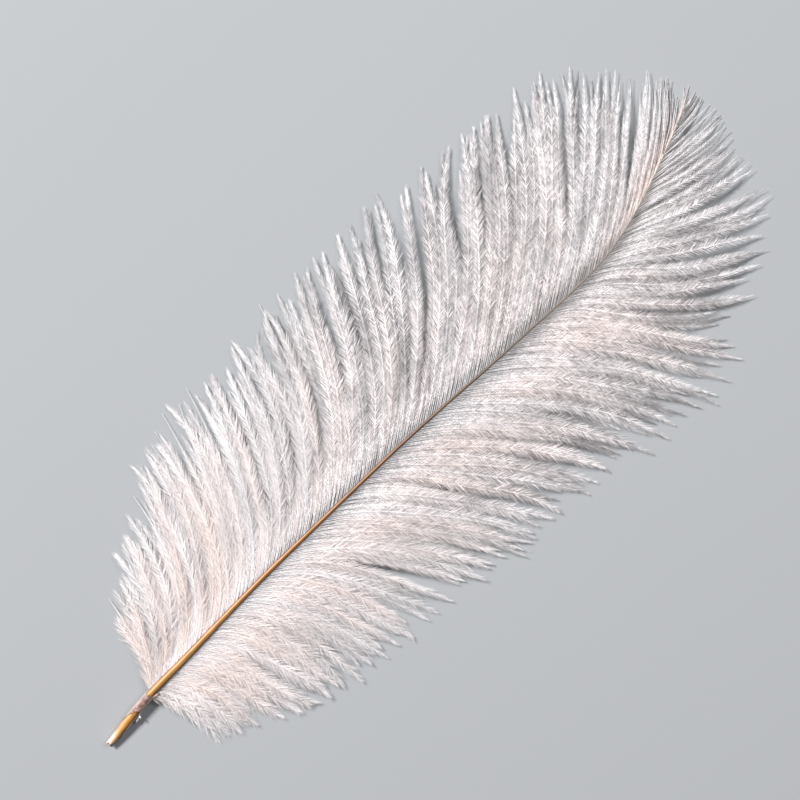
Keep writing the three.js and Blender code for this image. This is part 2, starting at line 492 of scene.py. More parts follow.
def make_dried_skin():
    """Pinkish brown dried skin, paler along both flanks, with dark patches and streaks."""
    material, shader = new_material("dried_skin", roughness=0.62)
    tree = material.node_tree
    place = add(tree, "ShaderNodeTexCoord").outputs["Object"]
    streaks = noise(tree, place, (700, 1500, 700), 3.0)
    patches = noise(tree, place, (900, 500, 900), 3.0)
    across = own_value(tree, "across")
    brown = (0.22, 0.135, 0.105, 1.0)
    pinkish = (0.39, 0.275, 0.235, 1.0)
    dark = (0.13, 0.065, 0.045, 1.0)
    left_flank = (0.40, 0.33, 0.33, 1.0)
    right_flank = (0.60, 0.45, 0.38, 1.0)
    base = blended(tree, mapped(tree, streaks, 0.38, 0.62), brown, pinkish)
    base = blended(tree, mapped(tree, patches, 0.46, 0.58, 0.0, 0.85), base, dark)
    base = blended(tree, mapped(tree, across, 0.22, 0.08, 0.0, 0.8), base, left_flank)
    base = blended(tree, mapped(tree, across, 0.86, 0.95, 0.0, 0.85), base, right_flank)
    feed(tree, shader.inputs["Base Color"], base)
    bumped(tree, shader, streaks, strength=0.5, distance=0.08 * MM)
    return material


band_points, band_faces = skin_band()
skin_piece = new_piece("calamus_skin", placed(band_points), band_faces, make_dried_skin())
band_x = band_points[:, 0] - curve_through(SHAFT_COURSE, band_points[:, 1])
band_radius = shaft_radius(band_points[:, 1]) + SKIN_THICKNESS
mark(skin_piece.data, "across", 0.5 + 0.5 * band_x / band_radius)
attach(skin_piece, "root")
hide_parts("shaft")

# --------------------------------------
# The stub of a lost barb
# A short forked strand of the same white down as the barbs. It hangs from the strip of
# dried skin on the calamus, where its barb has broken off.
# --------------------------------------

STUB_MAIN = [(0.8, 15.2, 2.2), (1.4, 14.2, 2.2), (1.9, 13.2, 2.0), (2.15, 12.2, 1.8),
             (2.2, 11.4, 1.6)]
STUB_MAIN_RADII = [0.30, 0.38, 0.40, 0.44, 0.28]
STUB_FORK = [(1.5, 14.0, 2.4), (2.1, 13.9, 2.6), (2.7, 13.7, 2.6)]
STUB_FORK_RADII = [0.25, 0.33, 0.22]
WHITE_DOWN = (0.93, 0.895, 0.912, 1.0)
PEACH_DOWN = (0.94, 0.81, 0.775, 1.0)
TAN_DOWN = (0.28, 0.205, 0.16, 1.0)

# The down's map has a strip for each barb, with the ramus along its middle. Tones beside it, with
# painted shade on the barbules just beside the ramus:
# the distance off the ramus as a share of the strip, and the tone there.
STRIPS = 128.0
SHADE_BESIDE_RAMUS = [(0.00, 0.90), (0.03, 0.90), (0.05, 0.76), (0.16, 0.88), (0.30, 1.0), (0.45, 1.0)]


def tapered_strand(points, radii, sides=8):
    """A closed round strand through some points, with a radius at each."""
    points = np.array(points, float)
    tangents = np.gradient(points, axis=0)
    tangents /= np.linalg.norm(tangents, axis=1)[:, None]
    side = np.cross(tangents, (0, 0, 1))
    side /= np.linalg.norm(side, axis=1)[:, None]
    up = np.cross(side, tangents)
    turns = np.arange(sides) * 2 * np.pi / sides
    ring = side[:, None, :] * np.cos(turns)[None, :, None]
    ring = ring + up[:, None, :] * np.sin(turns)[None, :, None]
    rings = points[:, None, :] + ring * np.array(radii, float)[:, None, None]
    return rings.reshape(-1, 3), capped_rings(len(points), sides)


def make_down():
    """Soft white down, warmed to peach where it lies thick and to tan at the upper barbs'
    roots. Each tuft has a slightly different tone. Painted shade darkens it beside each ramus, and
    where a barb lies under its neighbours."""
    material, shader = new_material("white_down", roughness=0.85)
    tree = material.node_tree
    own_map = add(tree, "ShaderNodeUVMap", uv_map="OFBake").outputs["UV"]
    on_map = add(tree, "ShaderNodeSeparateXYZ", {"Vector": own_map}).outputs
    base = blended(tree, own_value(tree, "peach"), WHITE_DOWN, PEACH_DOWN)
    base = blended(tree, own_value(tree, "tan"), base, TAN_DOWN)
    strip = times(tree, on_map["Y"], STRIPS)
    off_ramus = maths(tree, "ABSOLUTE", minus(tree, maths(tree, "FRACT", strip), 0.5))
    # Painted shade darkens the barbules' roots just beside each ramus.
    stops = [(place, (tone, tone, tone)) for place, tone in SHADE_BESIDE_RAMUS]
    shade_beside_ramus = colour_ramp(tree, off_ramus, stops)
    # Where the down is soft, low on the feather, all of these tones are closer together.
    soft = own_value(tree, "soft")
    own_tone = noise(tree, own_map, (1.5, STRIPS * 1.7, 1), 0.0)
    tuft_tone = noise(tree, own_map, (75, STRIPS, 1), 0.0)
    darkest = mapped(tree, soft, 0.0, 1.0, 0.50, 0.82)
    brightest = mapped(tree, soft, 0.0, 1.0, 1.18, 1.02)
    tuft_shade = mapped(tree, tuft_tone, 0.3, 0.7, darkest, brightest)
    on_barbule = mapped(tree, off_ramus, 0.03, 0.05, 0.5, 1.0)
    tuft_shade = times(tree, minus(tree, tuft_shade, 1.0), on_barbule)
    tuft_shade = added(tree, tuft_shade, 1.0)
    shade = times(tree, mapped(tree, own_tone, 0.3, 0.7, 0.90, 1.06), tuft_shade)
    # Painted shade darkens barbs that lie under their neighbours, less where the down is soft.
    deepest_painted_shade = mapped(tree, soft, 0.0, 1.0, 0.22, 0.68)
    painted_shade_under = mapped(tree, own_value(tree, "under"), 0.0, 1.0, 1.0, deepest_painted_shade)
    shade = times(tree, shade, painted_shade_under)
    even = times(tree, soft, 0.6)
    shade_beside_ramus = blended(tree, even, shade_beside_ramus, (0.92, 0.92, 0.92, 1.0))
    base = blended(tree, 1.0, base, shade_beside_ramus, "MULTIPLY")
    base = blended(tree, 1.0, base, grey(tree, shade), "MULTIPLY")
    feed(tree, shader.inputs["Base Color"], base)
    shader.inputs["Specular IOR Level"].default_value = 0.25
    return material


main_points, main_faces = tapered_strand(STUB_MAIN, STUB_MAIN_RADII)
fork_points, fork_faces = tapered_strand(STUB_FORK, STUB_FORK_RADII)
fork_faces = [tuple(v + len(main_points) for v in face) for face in fork_faces]
down = make_down()
stub = new_piece("barb_stub", placed(np.concatenate([main_points, fork_points])),
                 main_faces + fork_faces, down)
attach(stub, "root")
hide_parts("shaft")

# --------------------------------------
# The barbs
# Loose strands that grow from both sides of the rachis. Each is a thin tapering ramus
# fringed on both sides with soft barbules that sweep towards its tip. Neighbours cling
# together in locks, which part from each other towards the edge of the plume.
# --------------------------------------

VANE_FIRST = {-1: 23.0, 1: 21.5}  # -1 is the left vane, and 1 the right
VANE_LAST = 290.0
BARB_POINTS = 26
ROOT_PLACE = 0.85  # share of the quill's radius at which a barb starts
LOCK_SIZES = (2, 6)  # barbs in a lock, at least and below
GROUP_SIZES = (2, 6)  # locks that wander together, at least and below
LOCK_LENGTHS = (0.93, 1.03)
SIDE_LENGTHS = (0.86, 1.0)  # of the barbs beside a lock's middle one
SHORT_LENGTHS = (0.5, 0.9)
SHORT_CHANCE = (0.2, 0.42)  # in the middle of a lock, and beside it
STRAY_LENGTHS = (0.99, 1.07)
STRAY_CHANCE = 0.05
STRAY_LAST = 110.0
GROUP_SWING = 0.9  # degrees by which the headings wander
LOCK_SWING = 2.9
BARB_SWING = 4.0
END_SWERVE = 7.0  # further degrees near the barbs' ends
DROOP_POWER = 2.2
RISE = 1.7  # of a barb over its neighbours
LEAST_HEIGHT = 0.35
TUFT = 3.0  # neighbouring barbules whose tips meet
TUFT_LENGTHS = (0.75, 1.12)
BARBULE_LENGTHS = (0.88, 1.08)
BARBULE_TILT = 0.06  # radians by which each tilts out of its tuft
SHUFFLE = 0.25  # share of the distance between barbules
TABLE_GAP = 0.05 * MM
OTHER_ROW = 100000.0  # sets the tufts of a barb's second row apart from the first row's
MAP_LENGTH = 0.98  # share of the map's width that a barb takes
MAP_BREADTH = 0.002  # and that a barbule does
BARBULE_BAND = 0.45  # how far off the middle of a barb's strip the barbules reach
RAMUS_BAND = 0.03  # and how far its ramus does

# Distance between barbs, breadth of the rami and warmth of their colour, by station.
BARB_PITCH = [(23, 0.62), (45, 0.95), (90, 1.0), (200, 1.0), (245, 0.95), (265, 1.2), (290, 1.3)]
RAMUS_BREADTH = [(23, 1.0), (200, 0.9), (245, 1.1), (265, 1.7), (290, 1.8)]
WARMTH = [(23, 1.4), (70, 1.05), (200, 1.0), (240, 0.35)]

# Warmth along a barb, from its root (0) to its tip (1), for each vane.
WARMTH_ALONG = {
    -1: [(0, 0.6), (0.12, 0.8), (0.3, 1.0), (0.7, 0.7), (1, 0.15)],
    1: [(0, 0.15), (0.12, 0.45), (0.3, 0.9), (0.7, 0.7), (1, 0.15)],
}

# Course of the barbs, one group for each guide barb: root station, length, then the
# headings at the root, a third, two thirds and the tip, in degrees away from +Y.
LEFT_GUIDES = [
    (23, 30, 50, 65, 72, 75), (25, 40, 40, 56, 68, 72), (28, 50, 30, 48, 66, 74),
    (33, 61, 26, 46, 64, 77), (46, 70, 26, 50, 66, 80), (66, 73, 28, 50, 64, 70),
    (95, 78, 28, 48, 60, 67), (123, 83, 30, 44, 57, 56), (150, 89, 29, 37, 46, 50),
    (177, 88, 28, 35, 45, 47), (205, 85, 28, 35, 44, 46), (223, 72, 27, 33, 39, 38),
    (241, 58, 24, 30, 36, 38), (257, 43, 22, 30, 33, 42), (272, 26, 22, 30, 36, 42),
    (284, 13, 24, 28, 30, 32), (290, 8, 24, 28, 28, 28),
]
RIGHT_GUIDES = [
    (23, 28, 60, 74, 87, 92), (31, 37, 47, 74, 84, 88), (39, 45, 40, 76, 78, 68),
    (57, 51, 38, 73, 84, 94), (73, 60, 36, 62, 74, 83), (88, 66, 36, 53, 60, 68),
    (101, 72, 37, 53, 58, 68), (133, 73, 38, 51, 58, 66), (154, 82, 38, 49, 60, 72),
    (176, 80, 38, 51, 64, 76), (195, 74, 35, 54, 64, 56), (211, 70, 33, 54, 43, 31),
    (224, 64, 31, 50, 36, 34), (237, 58, 27, 32, 26, 24), (249, 46, 20, 23, 16, 10),
    (265, 31, 12, 12, 8, 4), (282, 15, 4, 0, -3, -6), (290, 8, 0, -4, -8, -12),
]

# Barbule length at a station along the feather, for each vane.
REACH_BY_STATION = {
    -1: [(23, 5.0), (60, 4.8), (110, 4.5), (205, 4.0), (230, 3.2), (248, 1.9), (262, 0.8),
         (290, 0.4)],
    1: [(23, 5.0), (60, 4.8), (110, 4.5), (190, 4.2), (225, 3.8), (255, 2.6), (275, 1.2),
        (290, 0.7)],
}

# How much of that length the barbules have along a barb, at SHARE_STEPS of the way from its
# root to its tip. Each row is for barbs at one station. The lowest are fluffy from end to
# end, and the upper ones have a nearly bare root and a hair-like end.
SHARE_STEPS = (0, 0.04, 0.08, 0.2, 0.32, 0.7, 0.86, 0.94, 1)
REACH_PROFILES = [
    (23, (0.75, 0.85, 0.90, 1.00, 1, 1, 0.95, 0.75, 0.40)),
    (42, (0.35, 0.50, 0.65, 0.92, 1, 1, 0.95, 0.75, 0.40)),
    (60, (0.25, 0.45, 0.60, 0.90, 1, 1, 0.95, 0.75, 0.35)),
    (100, (0.05, 0.14, 0.40, 0.85, 1, 1, 0.90, 0.65, 0.30)),
    (170, (0.04, 0.10, 0.30, 0.80, 1, 1, 0.88, 0.66, 0.30)),
    (215, (0.04, 0.10, 0.30, 0.80, 1, 0.95, 0.75, 0.48, 0.16)),
    (240, (0.04, 0.10, 0.30, 0.80, 1, 0.88, 0.58, 0.25, 0.06)),
    (290, (0.04, 0.10, 0.30, 0.80, 1, 0.80, 0.40, 0.12, 0.05)),
]


def traced(guides, side, stations, lengths, swerve):
    """Plan-view paths of barbs, one row of points each, by stepping along their headings."""
    table = np.array(guides, float)
    bends = np.stack([np.interp(stations, table[:, 0], table[:, c]) for c in range(2, 6)], 1)
    middle = (np.arange(BARB_POINTS - 1) + 0.5) / (BARB_POINTS - 1)
    thirds = np.linspace(0, 1, 4)
    heading = np.array([np.interp(middle, thirds, row) for row in bends])
    heading = np.radians(heading + swerve)
    step = lengths[:, None] / (BARB_POINTS - 1)
    x = np.cumsum(side * np.sin(heading) * step, axis=1)
    y = np.cumsum(np.cos(heading) * step, axis=1)
    start_x = curve_through(SHAFT_COURSE, stations) + side * ROOT_PLACE * shaft_radius(stations)
    zero = np.zeros((len(stations), 1))
    x = np.concatenate([zero, x], 1) + start_x[:, None]
    y = np.concatenate([zero, y], 1) + stations[:, None]
    return np.stack([x, y], 2)


def runs(rng, count, sizes):
    """Numbers a row of things by the run that each belongs to."""
    lengths = []
    while sum(lengths) < count:
        lengths.append(rng.integers(*sizes))
    return np.repeat(np.arange(len(lengths)), lengths)[:count]


def waves(rng, count, strength, middle):
    """For each of some strands, how its heading wanders along it, in degrees."""
    swing = rng.uniform(0.4, 1.0, count) * strength
    turns = rng.uniform(0.7, 1.7, count)
    phase = rng.uniform(0, 2 * np.pi, count)
    lean = rng.normal(0, 0.3 * strength, count)
    wander = swing[:, None] * np.sin(2 * np.pi * turns[:, None] * middle + phase[:, None])
    return (wander + lean[:, None]) * smooth(0.03, 0.35, middle)


def barb_stations(rng, side):
    """Where the barbs of a vane spring from the quill."""
    stations = [VANE_FIRST[side]]
    while stations[-1] < VANE_LAST:
        stations.append(stations[-1] + between(BARB_PITCH, stations[-1]))
    stations = np.array(stations[:-1])
    return stations + rng.uniform(-0.25, 0.25, len(stations))


def over_and_under(rng, share, on_top):
    """How high a barb lies among its neighbours along its way, from 0 to 1. It rises over
    them for a stretch, and dips under them further on."""
    turns = rng.uniform(0.7, 2.0, len(on_top))[:, None]
    phase = rng.uniform(0, 2 * np.pi, len(on_top))[:, None]
    rise = 0.5 * on_top[:, None] + 0.5 * (0.5 + 0.5 * np.sin(2 * np.pi * turns * share + phase))
    return np.clip(1.2 * rise - 0.05, 0, 1)


def barb_lengths(rng, full, stations, lock, off_middle):
    """Each barb's length, and which barbs are long strays."""
    count = len(stations)
    in_middle = off_middle == 0
    lengths = full * rng.uniform(*LOCK_LENGTHS, lock.max() + 1)[lock]
    lengths = lengths * np.where(in_middle, 1.0, rng.uniform(*SIDE_LENGTHS, count))
    short = rng.random(count) < np.where(in_middle, *SHORT_CHANCE)
    lengths = np.where(short, lengths * rng.uniform(*SHORT_LENGTHS, count), lengths)
    stray = (rng.random(count) < STRAY_CHANCE) & (stations < STRAY_LAST)
    return np.where(stray, full * rng.uniform(*STRAY_LENGTHS, count), lengths), stray


def barb_paths(rng, guides, side, stations, lengths, lock, group):
    """Plan-view points of the barbs, each drawn towards the middle line of its lock."""
    count = len(stations)
    locks = lock.max() + 1
    share = np.linspace(0, 1, BARB_POINTS)
    middle = 0.5 * (share[1:] + share[:-1])
    swerve = waves(rng, group.max() + 1, GROUP_SWING, middle)[group]
    swerve = swerve + waves(rng, locks, LOCK_SWING, middle)
    own = swerve[lock] + waves(rng, count, BARB_SWING, middle)
    own = own + rng.normal(0, END_SWERVE, count)[:, None] * smooth(0.6, 1, middle)
    path = traced(guides, side, stations, lengths, own)
    centre_station = np.array([stations[lock == k].mean() for k in range(locks)])
    centre = traced(guides, side, centre_station[lock], lengths, swerve[lock])
    # The locks hold together most above the middle of the feather, and least at its tip.
    hold = rng.uniform(0.15, 0.55, locks)[lock] + 0.27 * smooth(120, 200, stations)
    hold = hold * (1 - 0.8 * smooth(252, 274, stations))
    hold = hold * (0.4 + 0.6 * smooth(60, 120, stations))
    pull = hold[:, None] * smooth(0.05, 0.5, share) * (1 - 0.2 * smooth(0.75, 1, share))
    return path + (centre - path) * pull[:, :, None]


def barb_heights(rng, stations, lengths, share, rise, lock):
    """Heights along the barbs: level with the quill at the root, and near the table at the
    tip, with each lock in a layer of its own. A short barb lifts less than a long one."""
    locks = lock.max() + 1
    root = shaft_height(stations) + 0.15 * shaft_radius(stations)
    droop = root[:, None] * (1 - share) ** DROOP_POWER
    layer = rng.uniform(0.4, 1.8, locks)[lock] + rng.uniform(0, 0.3, len(stations))
    lift = layer[:, None] * smooth(0.0, 0.5, share) * (1 - 0.55 * smooth(0.7, 1, share))
    lift = lift + RISE * rise * smooth(0.03, 0.35, share) * (1 - 0.5 * smooth(0.8, 1, share))
    arch = rng.uniform(0.0, 1.2, locks)[lock][:, None] * np.sin(np.pi * share)
    free = smooth(0, 50, lengths)[:, None]
    return np.maximum(droop + (lift + arch) * free, LEAST_HEIGHT)


def barbule_reach(rng, side, stations, share, on_top, stray):
    """Length of the barbules along each barb. A stray's far end is nearly bare."""
    count = len(stations)
    reach = between(REACH_BY_STATION[side], stations) * rng.uniform(0.85, 1.05, count)
    reach = reach * (1 + 0.1 * on_top)
    known, rows = zip(*REACH_PROFILES)
    nearby = stations + rng.uniform(-15, 15, count)
    at_steps = np.stack([np.interp(nearby, known, column) for column in zip(*rows)], 1)
    profile = np.array([np.interp(share, SHARE_STEPS, row) for row in at_steps])
    bare = np.where(stray[:, None], 1 - 0.85 * smooth(0.6, 0.85, share), 1.0)
    return reach[:, None] * profile * bare


def under_shade(side, stations, share, rise, stray):
    """How deep in shade a barb lies under its neighbours. There is less of it near the tip
    of the feather, and near the roots of the right vane's lower barbs."""
    off_root = smooth(0.08, 0.3, share)
    under = np.where(stray[:, None], 0, 1 - rise)
    clear_tip = {-1: 0.8, 1: 0.2}[side] * smooth(210, 255, stations)
    shaded_root = {-1: 1.0, 1: smooth(190, 225, stations)[:, None]}[side]
    clear_root = shaded_root * off_root + (1 - shaded_root) * smooth(0.3, 0.75, share)
    return under * (1 - clear_tip)[:, None] * clear_root * off_root


def barb_tints(rng, side, stations, share, under, lock):
    """Shares of peach and of tan in a barb's colour. The left vane's upper barbs are cream
    and brown, and the barbs' roots are tan towards both ends of the feather."""
    count = len(stations)
    on_left = side < 0
    warmth = between(WARMTH, stations) * rng.uniform(0.25, 1, lock.max() + 1)[lock]
    warmth = warmth * (1 - 0.35 * smooth(60, 110, stations) * on_left)
    towards_edge = between(WARMTH_ALONG[side], share)
    cream = smooth(222, 258, stations)[:, None] * (1 - smooth(0.15, 0.7, share)) * on_left
    brown = (smooth(250, 272, stations) * rng.uniform(0.2, 1, count))[:, None]
    brown = brown * (1 - 0.4 * share) * on_left
    at_root = smooth(150, 230, stations)[:, None] * (1 - smooth(0.03, 0.16, share))
    at_root = at_root * rng.uniform(0.3, 1, count)[:, None]
    low_root = (1 - smooth(24, 36, stations))[:, None] * (1 - smooth(0.05, 0.35, share))
    # Barbs in painted shade get less peach, so that their shade stays grey.
    peach = warmth[:, None] * towards_edge * (1 - 0.75 * under) + 0.8 * cream
    tan = np.maximum.reduce([0.1 * cream, 0.7 * at_root, 0.3 * brown, 0.3 * low_root])
    return np.clip(peach, 0, 1), tan


def grown_barbs(guides, side, seed):
    """Every barb of one vane, as a dictionary of arrays with a row for each barb."""
    rng = np.random.default_rng(seed)
    stations = barb_stations(rng, side)
    count = len(stations)
    lock = runs(rng, count, LOCK_SIZES)
    locks = lock.max() + 1
    group = runs(rng, locks, GROUP_SIZES)
    share = np.linspace(0, 1, BARB_POINTS)
    full = between([guide[:2] for guide in guides], stations)

    # The middle barb of a lock lies on top, and the others reach less far.
    place_in_lock = np.arange(count) - np.searchsorted(lock, np.arange(locks))[lock]
    off_middle = np.abs(place_in_lock - np.bincount(lock)[lock] // 2)
    on_top = np.clip(1 - off_middle / 2, 0, 1)
    rise = over_and_under(rng, share, on_top)
    lengths, stray = barb_lengths(rng, full, stations, lock, off_middle)
    path = barb_paths(rng, guides, side, stations, lengths, lock, group)
    height = barb_heights(rng, stations, lengths, share, rise, lock)
    reach = barbule_reach(rng, side, stations, share, on_top, stray)
    thin = between(RAMUS_BREADTH, stations) * np.where(stray, 1.3, 1.0)
    under = under_shade(side, stations, share, rise, stray)
    peach, tan = barb_tints(rng, side, stations, share, under, lock)
    return {
        "points": np.concatenate([path, height[:, :, None]], 2),
        "share": np.broadcast_to(share, height.shape),
        "reach": reach,
        "thick": (0.06 + 0.085 * (1 - share) ** 2)[None, :] * thin[:, None],
        "peach": peach,
        "tan": tan,
        "under": under,
        "soft": np.broadcast_to(1 - smooth(70, 130, stations)[:, None], height.shape),
        "station": stations,
    }


def value_from(tree, name, kind="FLOAT"):
    """A named attribute's value."""
    node = add(tree, "GeometryNodeInputNamedAttribute", {"Name": name}, data_type=kind)
    return node.outputs["Attribute"]


def xyz(tree, x=0.0, y=0.0, z=0.0):
    """A vector of three values."""
    return add(tree, "ShaderNodeCombineXYZ", {"X": x, "Y": y, "Z": z}).outputs[0]


def places(tree):
    """The points' places, as outputs X, Y and Z."""
    position = add(tree, "GeometryNodeInputPosition").outputs[0]
    return add(tree, "ShaderNodeSeparateXYZ", {"Vector": position}).outputs


def moved(tree, geometry, how, vector):
    """Geometry with its points moved to a "Position" or by an "Offset"."""
    return add(tree, "GeometryNodeSetPosition", {"Geometry": geometry, how: vector}).outputs[0]


def vectors(tree, operation, a, b=(0, 0, 0), scale=None):
    """The vector result of a Vector Math node."""
    node = add(tree, "ShaderNodeVectorMath", operation=operation)
    feed(tree, node.inputs[0], a)
    if scale is not None:
        feed(tree, node.inputs["Scale"], scale)
    else:
        feed(tree, node.inputs[1], b)
    return node.outputs[0]


def chance(tree, low, high, identity, seed):
    """A random value for each element."""
    inputs = {"Min": low, "Max": high, "ID": identity, "Seed": seed}
    node = add(tree, "FunctionNodeRandomValue", inputs, data_type="FLOAT")
    return in_use(node.outputs, "Value")


def stored(tree, geometry, name, value, kind="FLOAT", domain="POINT"):
    """Geometry with a value stored under a name."""
    inputs = {"Geometry": geometry, "Name": name, "Value": value}
    node = add(tree, "GeometryNodeStoreNamedAttribute", inputs, data_type=kind, domain=domain)
    return node.outputs["Geometry"]


def joined(tree, *geometries):
    """Several geometries as one, in the order given."""
    node = add(tree, "GeometryNodeJoinGeometry")
    for geometry in reversed(geometries):
        tree.links.new(geometry, node.inputs[0])
    return node.outputs[0]


def blade(tree, side, width, sweep):
    """One barbule of unit length along +X, narrowing to a point and curving forwards.
    The left one curves the other way, so that both sides of a barb mirror each other."""
    size = {"Size X": 1.0, "Size Y": 1.0, "Vertices X": 4, "Vertices Y": 2}
    grid = add(tree, "GeometryNodeMeshGrid", size).outputs["Mesh"]
    place = places(tree)
    u = added(tree, place["X"], 0.5)
    square = times(tree, u, u)
    narrowing = minus(tree, 1.0, square)
    half = times(tree, times(tree, place["Y"], width), narrowing)
    bend = times(tree, times(tree, square, sweep), float(side))
    marked = stored(tree, grid, "blade_v", times(tree, u, BARBULE_BAND * side))
    marked = stored(tree, marked, "blade_w", place["Y"])
    bent = moved(tree, marked, "Position", xyz(tree, u, added(tree, half, bend)))
    merged = add(tree, "GeometryNodeMergeByDistance", {"Geometry": bent, "Distance": 0.0005})
    return add(tree, "GeometryNodeGeometryToInstance", {"Geometry": merged.outputs[0]}).outputs[0]


def ramus_tubes(tree, curves):
    """The rami: three-sided tubes, whose radius the "thick" value gives."""
    circle = add(tree, "GeometryNodeCurvePrimitiveCircle", {"Resolution": 3, "Radius": 1.0})
    tube = add(tree, "GeometryNodeCurveToMesh", {
        "Curve": curves,
        "Profile Curve": circle.outputs["Curve"],
        "Scale": value_from(tree, "thick"),
        "Fill Caps": True,
    })
    index = add(tree, "GeometryNodeInputIndex").outputs[0]
    corner = minus(tree, maths(tree, "MODULO", index, 3.0), 1.0)
    rami = stored(tree, tube.outputs[0], "blade_v", times(tree, corner, RAMUS_BAND))
    return stored(tree, rami, "blade_w", 0.0)


def barbule_rows(tree, given, curves):
    """The barbules: two at each step along a barb, one on each side."""
    step = {"Curve": curves, "Length": given["Barbule pitch"]}
    along = add(tree, "GeometryNodeCurveToPoints", step, mode="LENGTH").outputs
    index = add(tree, "GeometryNodeInputIndex").outputs[0]
    kept = stored(tree, along["Points"], "forward", along["Tangent"], "FLOAT_VECTOR")
    kept = stored(tree, kept, "number", index)
    twice = {"Geometry": kept, "Amount": 2}
    pair = add(tree, "GeometryNodeDuplicateElements", twice, domain="POINT").outputs
    points = stored(tree, pair["Geometry"], "which", pair["Duplicate Index"])
    which = value_from(tree, "which")
    side = minus(tree, times(tree, which, 2.0), 1.0)
    number = value_from(tree, "number")
    member = maths(tree, "MODULO", number, TUFT)
    tuft = maths(tree, "FLOOR", maths(tree, "DIVIDE", number, TUFT))
    tuft = added(tree, tuft, times(tree, which, OTHER_ROW))

    def drawn(low, high, offset, identity=index):
        return chance(tree, low, high, identity, added(tree, given["Seed"], float(offset)))

    def either_way(most, offset, identity=index):
        return drawn(times(tree, most, -1.0), most, offset, identity)

    # Angle out from the barb: a tuft's tips gather, and all lean forwards near the end.
    forward = value_from(tree, "forward", "FLOAT_VECTOR")
    sideways = vectors(tree, "NORMALIZE", vectors(tree, "CROSS_PRODUCT", forward, (0, 0, 1)))
    upward = vectors(tree, "CROSS_PRODUCT", sideways, forward)
    gather = times(tree, minus(tree, member, 0.5 * (TUFT - 1)), given["Gather"])
    spread = added(tree, drawn(given["Least angle"], given["Most angle"], 1, tuft), gather)
    spread = added(tree, spread, either_way(given["Scatter"], 6))
    spread = times(tree, spread, mapped(tree, value_from(tree, "share"), 0.7, 1.0, 1.0, 0.6))
    tilt = added(tree, either_way(given["Tilt"], 2, tuft), drawn(-BARBULE_TILT, BARBULE_TILT, 7))
    tilt = minus(tree, tilt, given["Sag"])
    sine = maths(tree, "SINE", spread)
    out = times(tree, times(tree, sine, side), maths(tree, "COSINE", tilt))
    up = times(tree, sine, maths(tree, "SINE", tilt))
    ahead = vectors(tree, "SCALE", forward, scale=maths(tree, "COSINE", spread))
    out = vectors(tree, "SCALE", sideways, scale=out)
    up = vectors(tree, "SCALE", upward, scale=up)
    facing = add(tree, "FunctionNodeAxesToRotation", {
        "Primary Axis": vectors(tree, "ADD", ahead, vectors(tree, "ADD", out, up)),
        "Secondary Axis": vectors(tree, "SCALE", forward, scale=side),
    }, primary_axis="X", secondary_axis="Y")
    euler = add(tree, "FunctionNodeEulerToRotation")
    feed(tree, euler.inputs[0], xyz(tree, either_way(given["Roll"], 3)))
    rolled = add(tree, "FunctionNodeRotateRotation", {
        "Rotation": facing.outputs[0],
        "Rotate By": euler.outputs[0],
    }, rotation_space="LOCAL")

    # A short barbule is broader for its length than a long one.
    length = times(tree, value_from(tree, "reach"), drawn(*TUFT_LENGTHS, 5, tuft))
    length = times(tree, length, drawn(*BARBULE_LENGTHS, 8))
    breadth = maths(tree, "SQRT", times(tree, length, given["Full reach"]))
    shuffle = times(tree, given["Barbule pitch"], drawn(-SHUFFLE, SHUFFLE, 4))
    shuffle = vectors(tree, "SCALE", forward, scale=shuffle)
    shape = (given["Barbule width"], given["Barbule sweep"])
    place = add(tree, "GeometryNodeInstanceOnPoints", {
        "Points": moved(tree, points, "Offset", shuffle),
        "Instance": joined(tree, blade(tree, -1, *shape), blade(tree, 1, *shape)),
        "Pick Instance": True,
        "Instance Index": which,
        "Rotation": rolled.outputs[0],
        "Scale": xyz(tree, length, breadth, length),
    })
    return add(tree, "GeometryNodeRealizeInstances", {"Geometry": place.outputs[0]}).outputs[0]


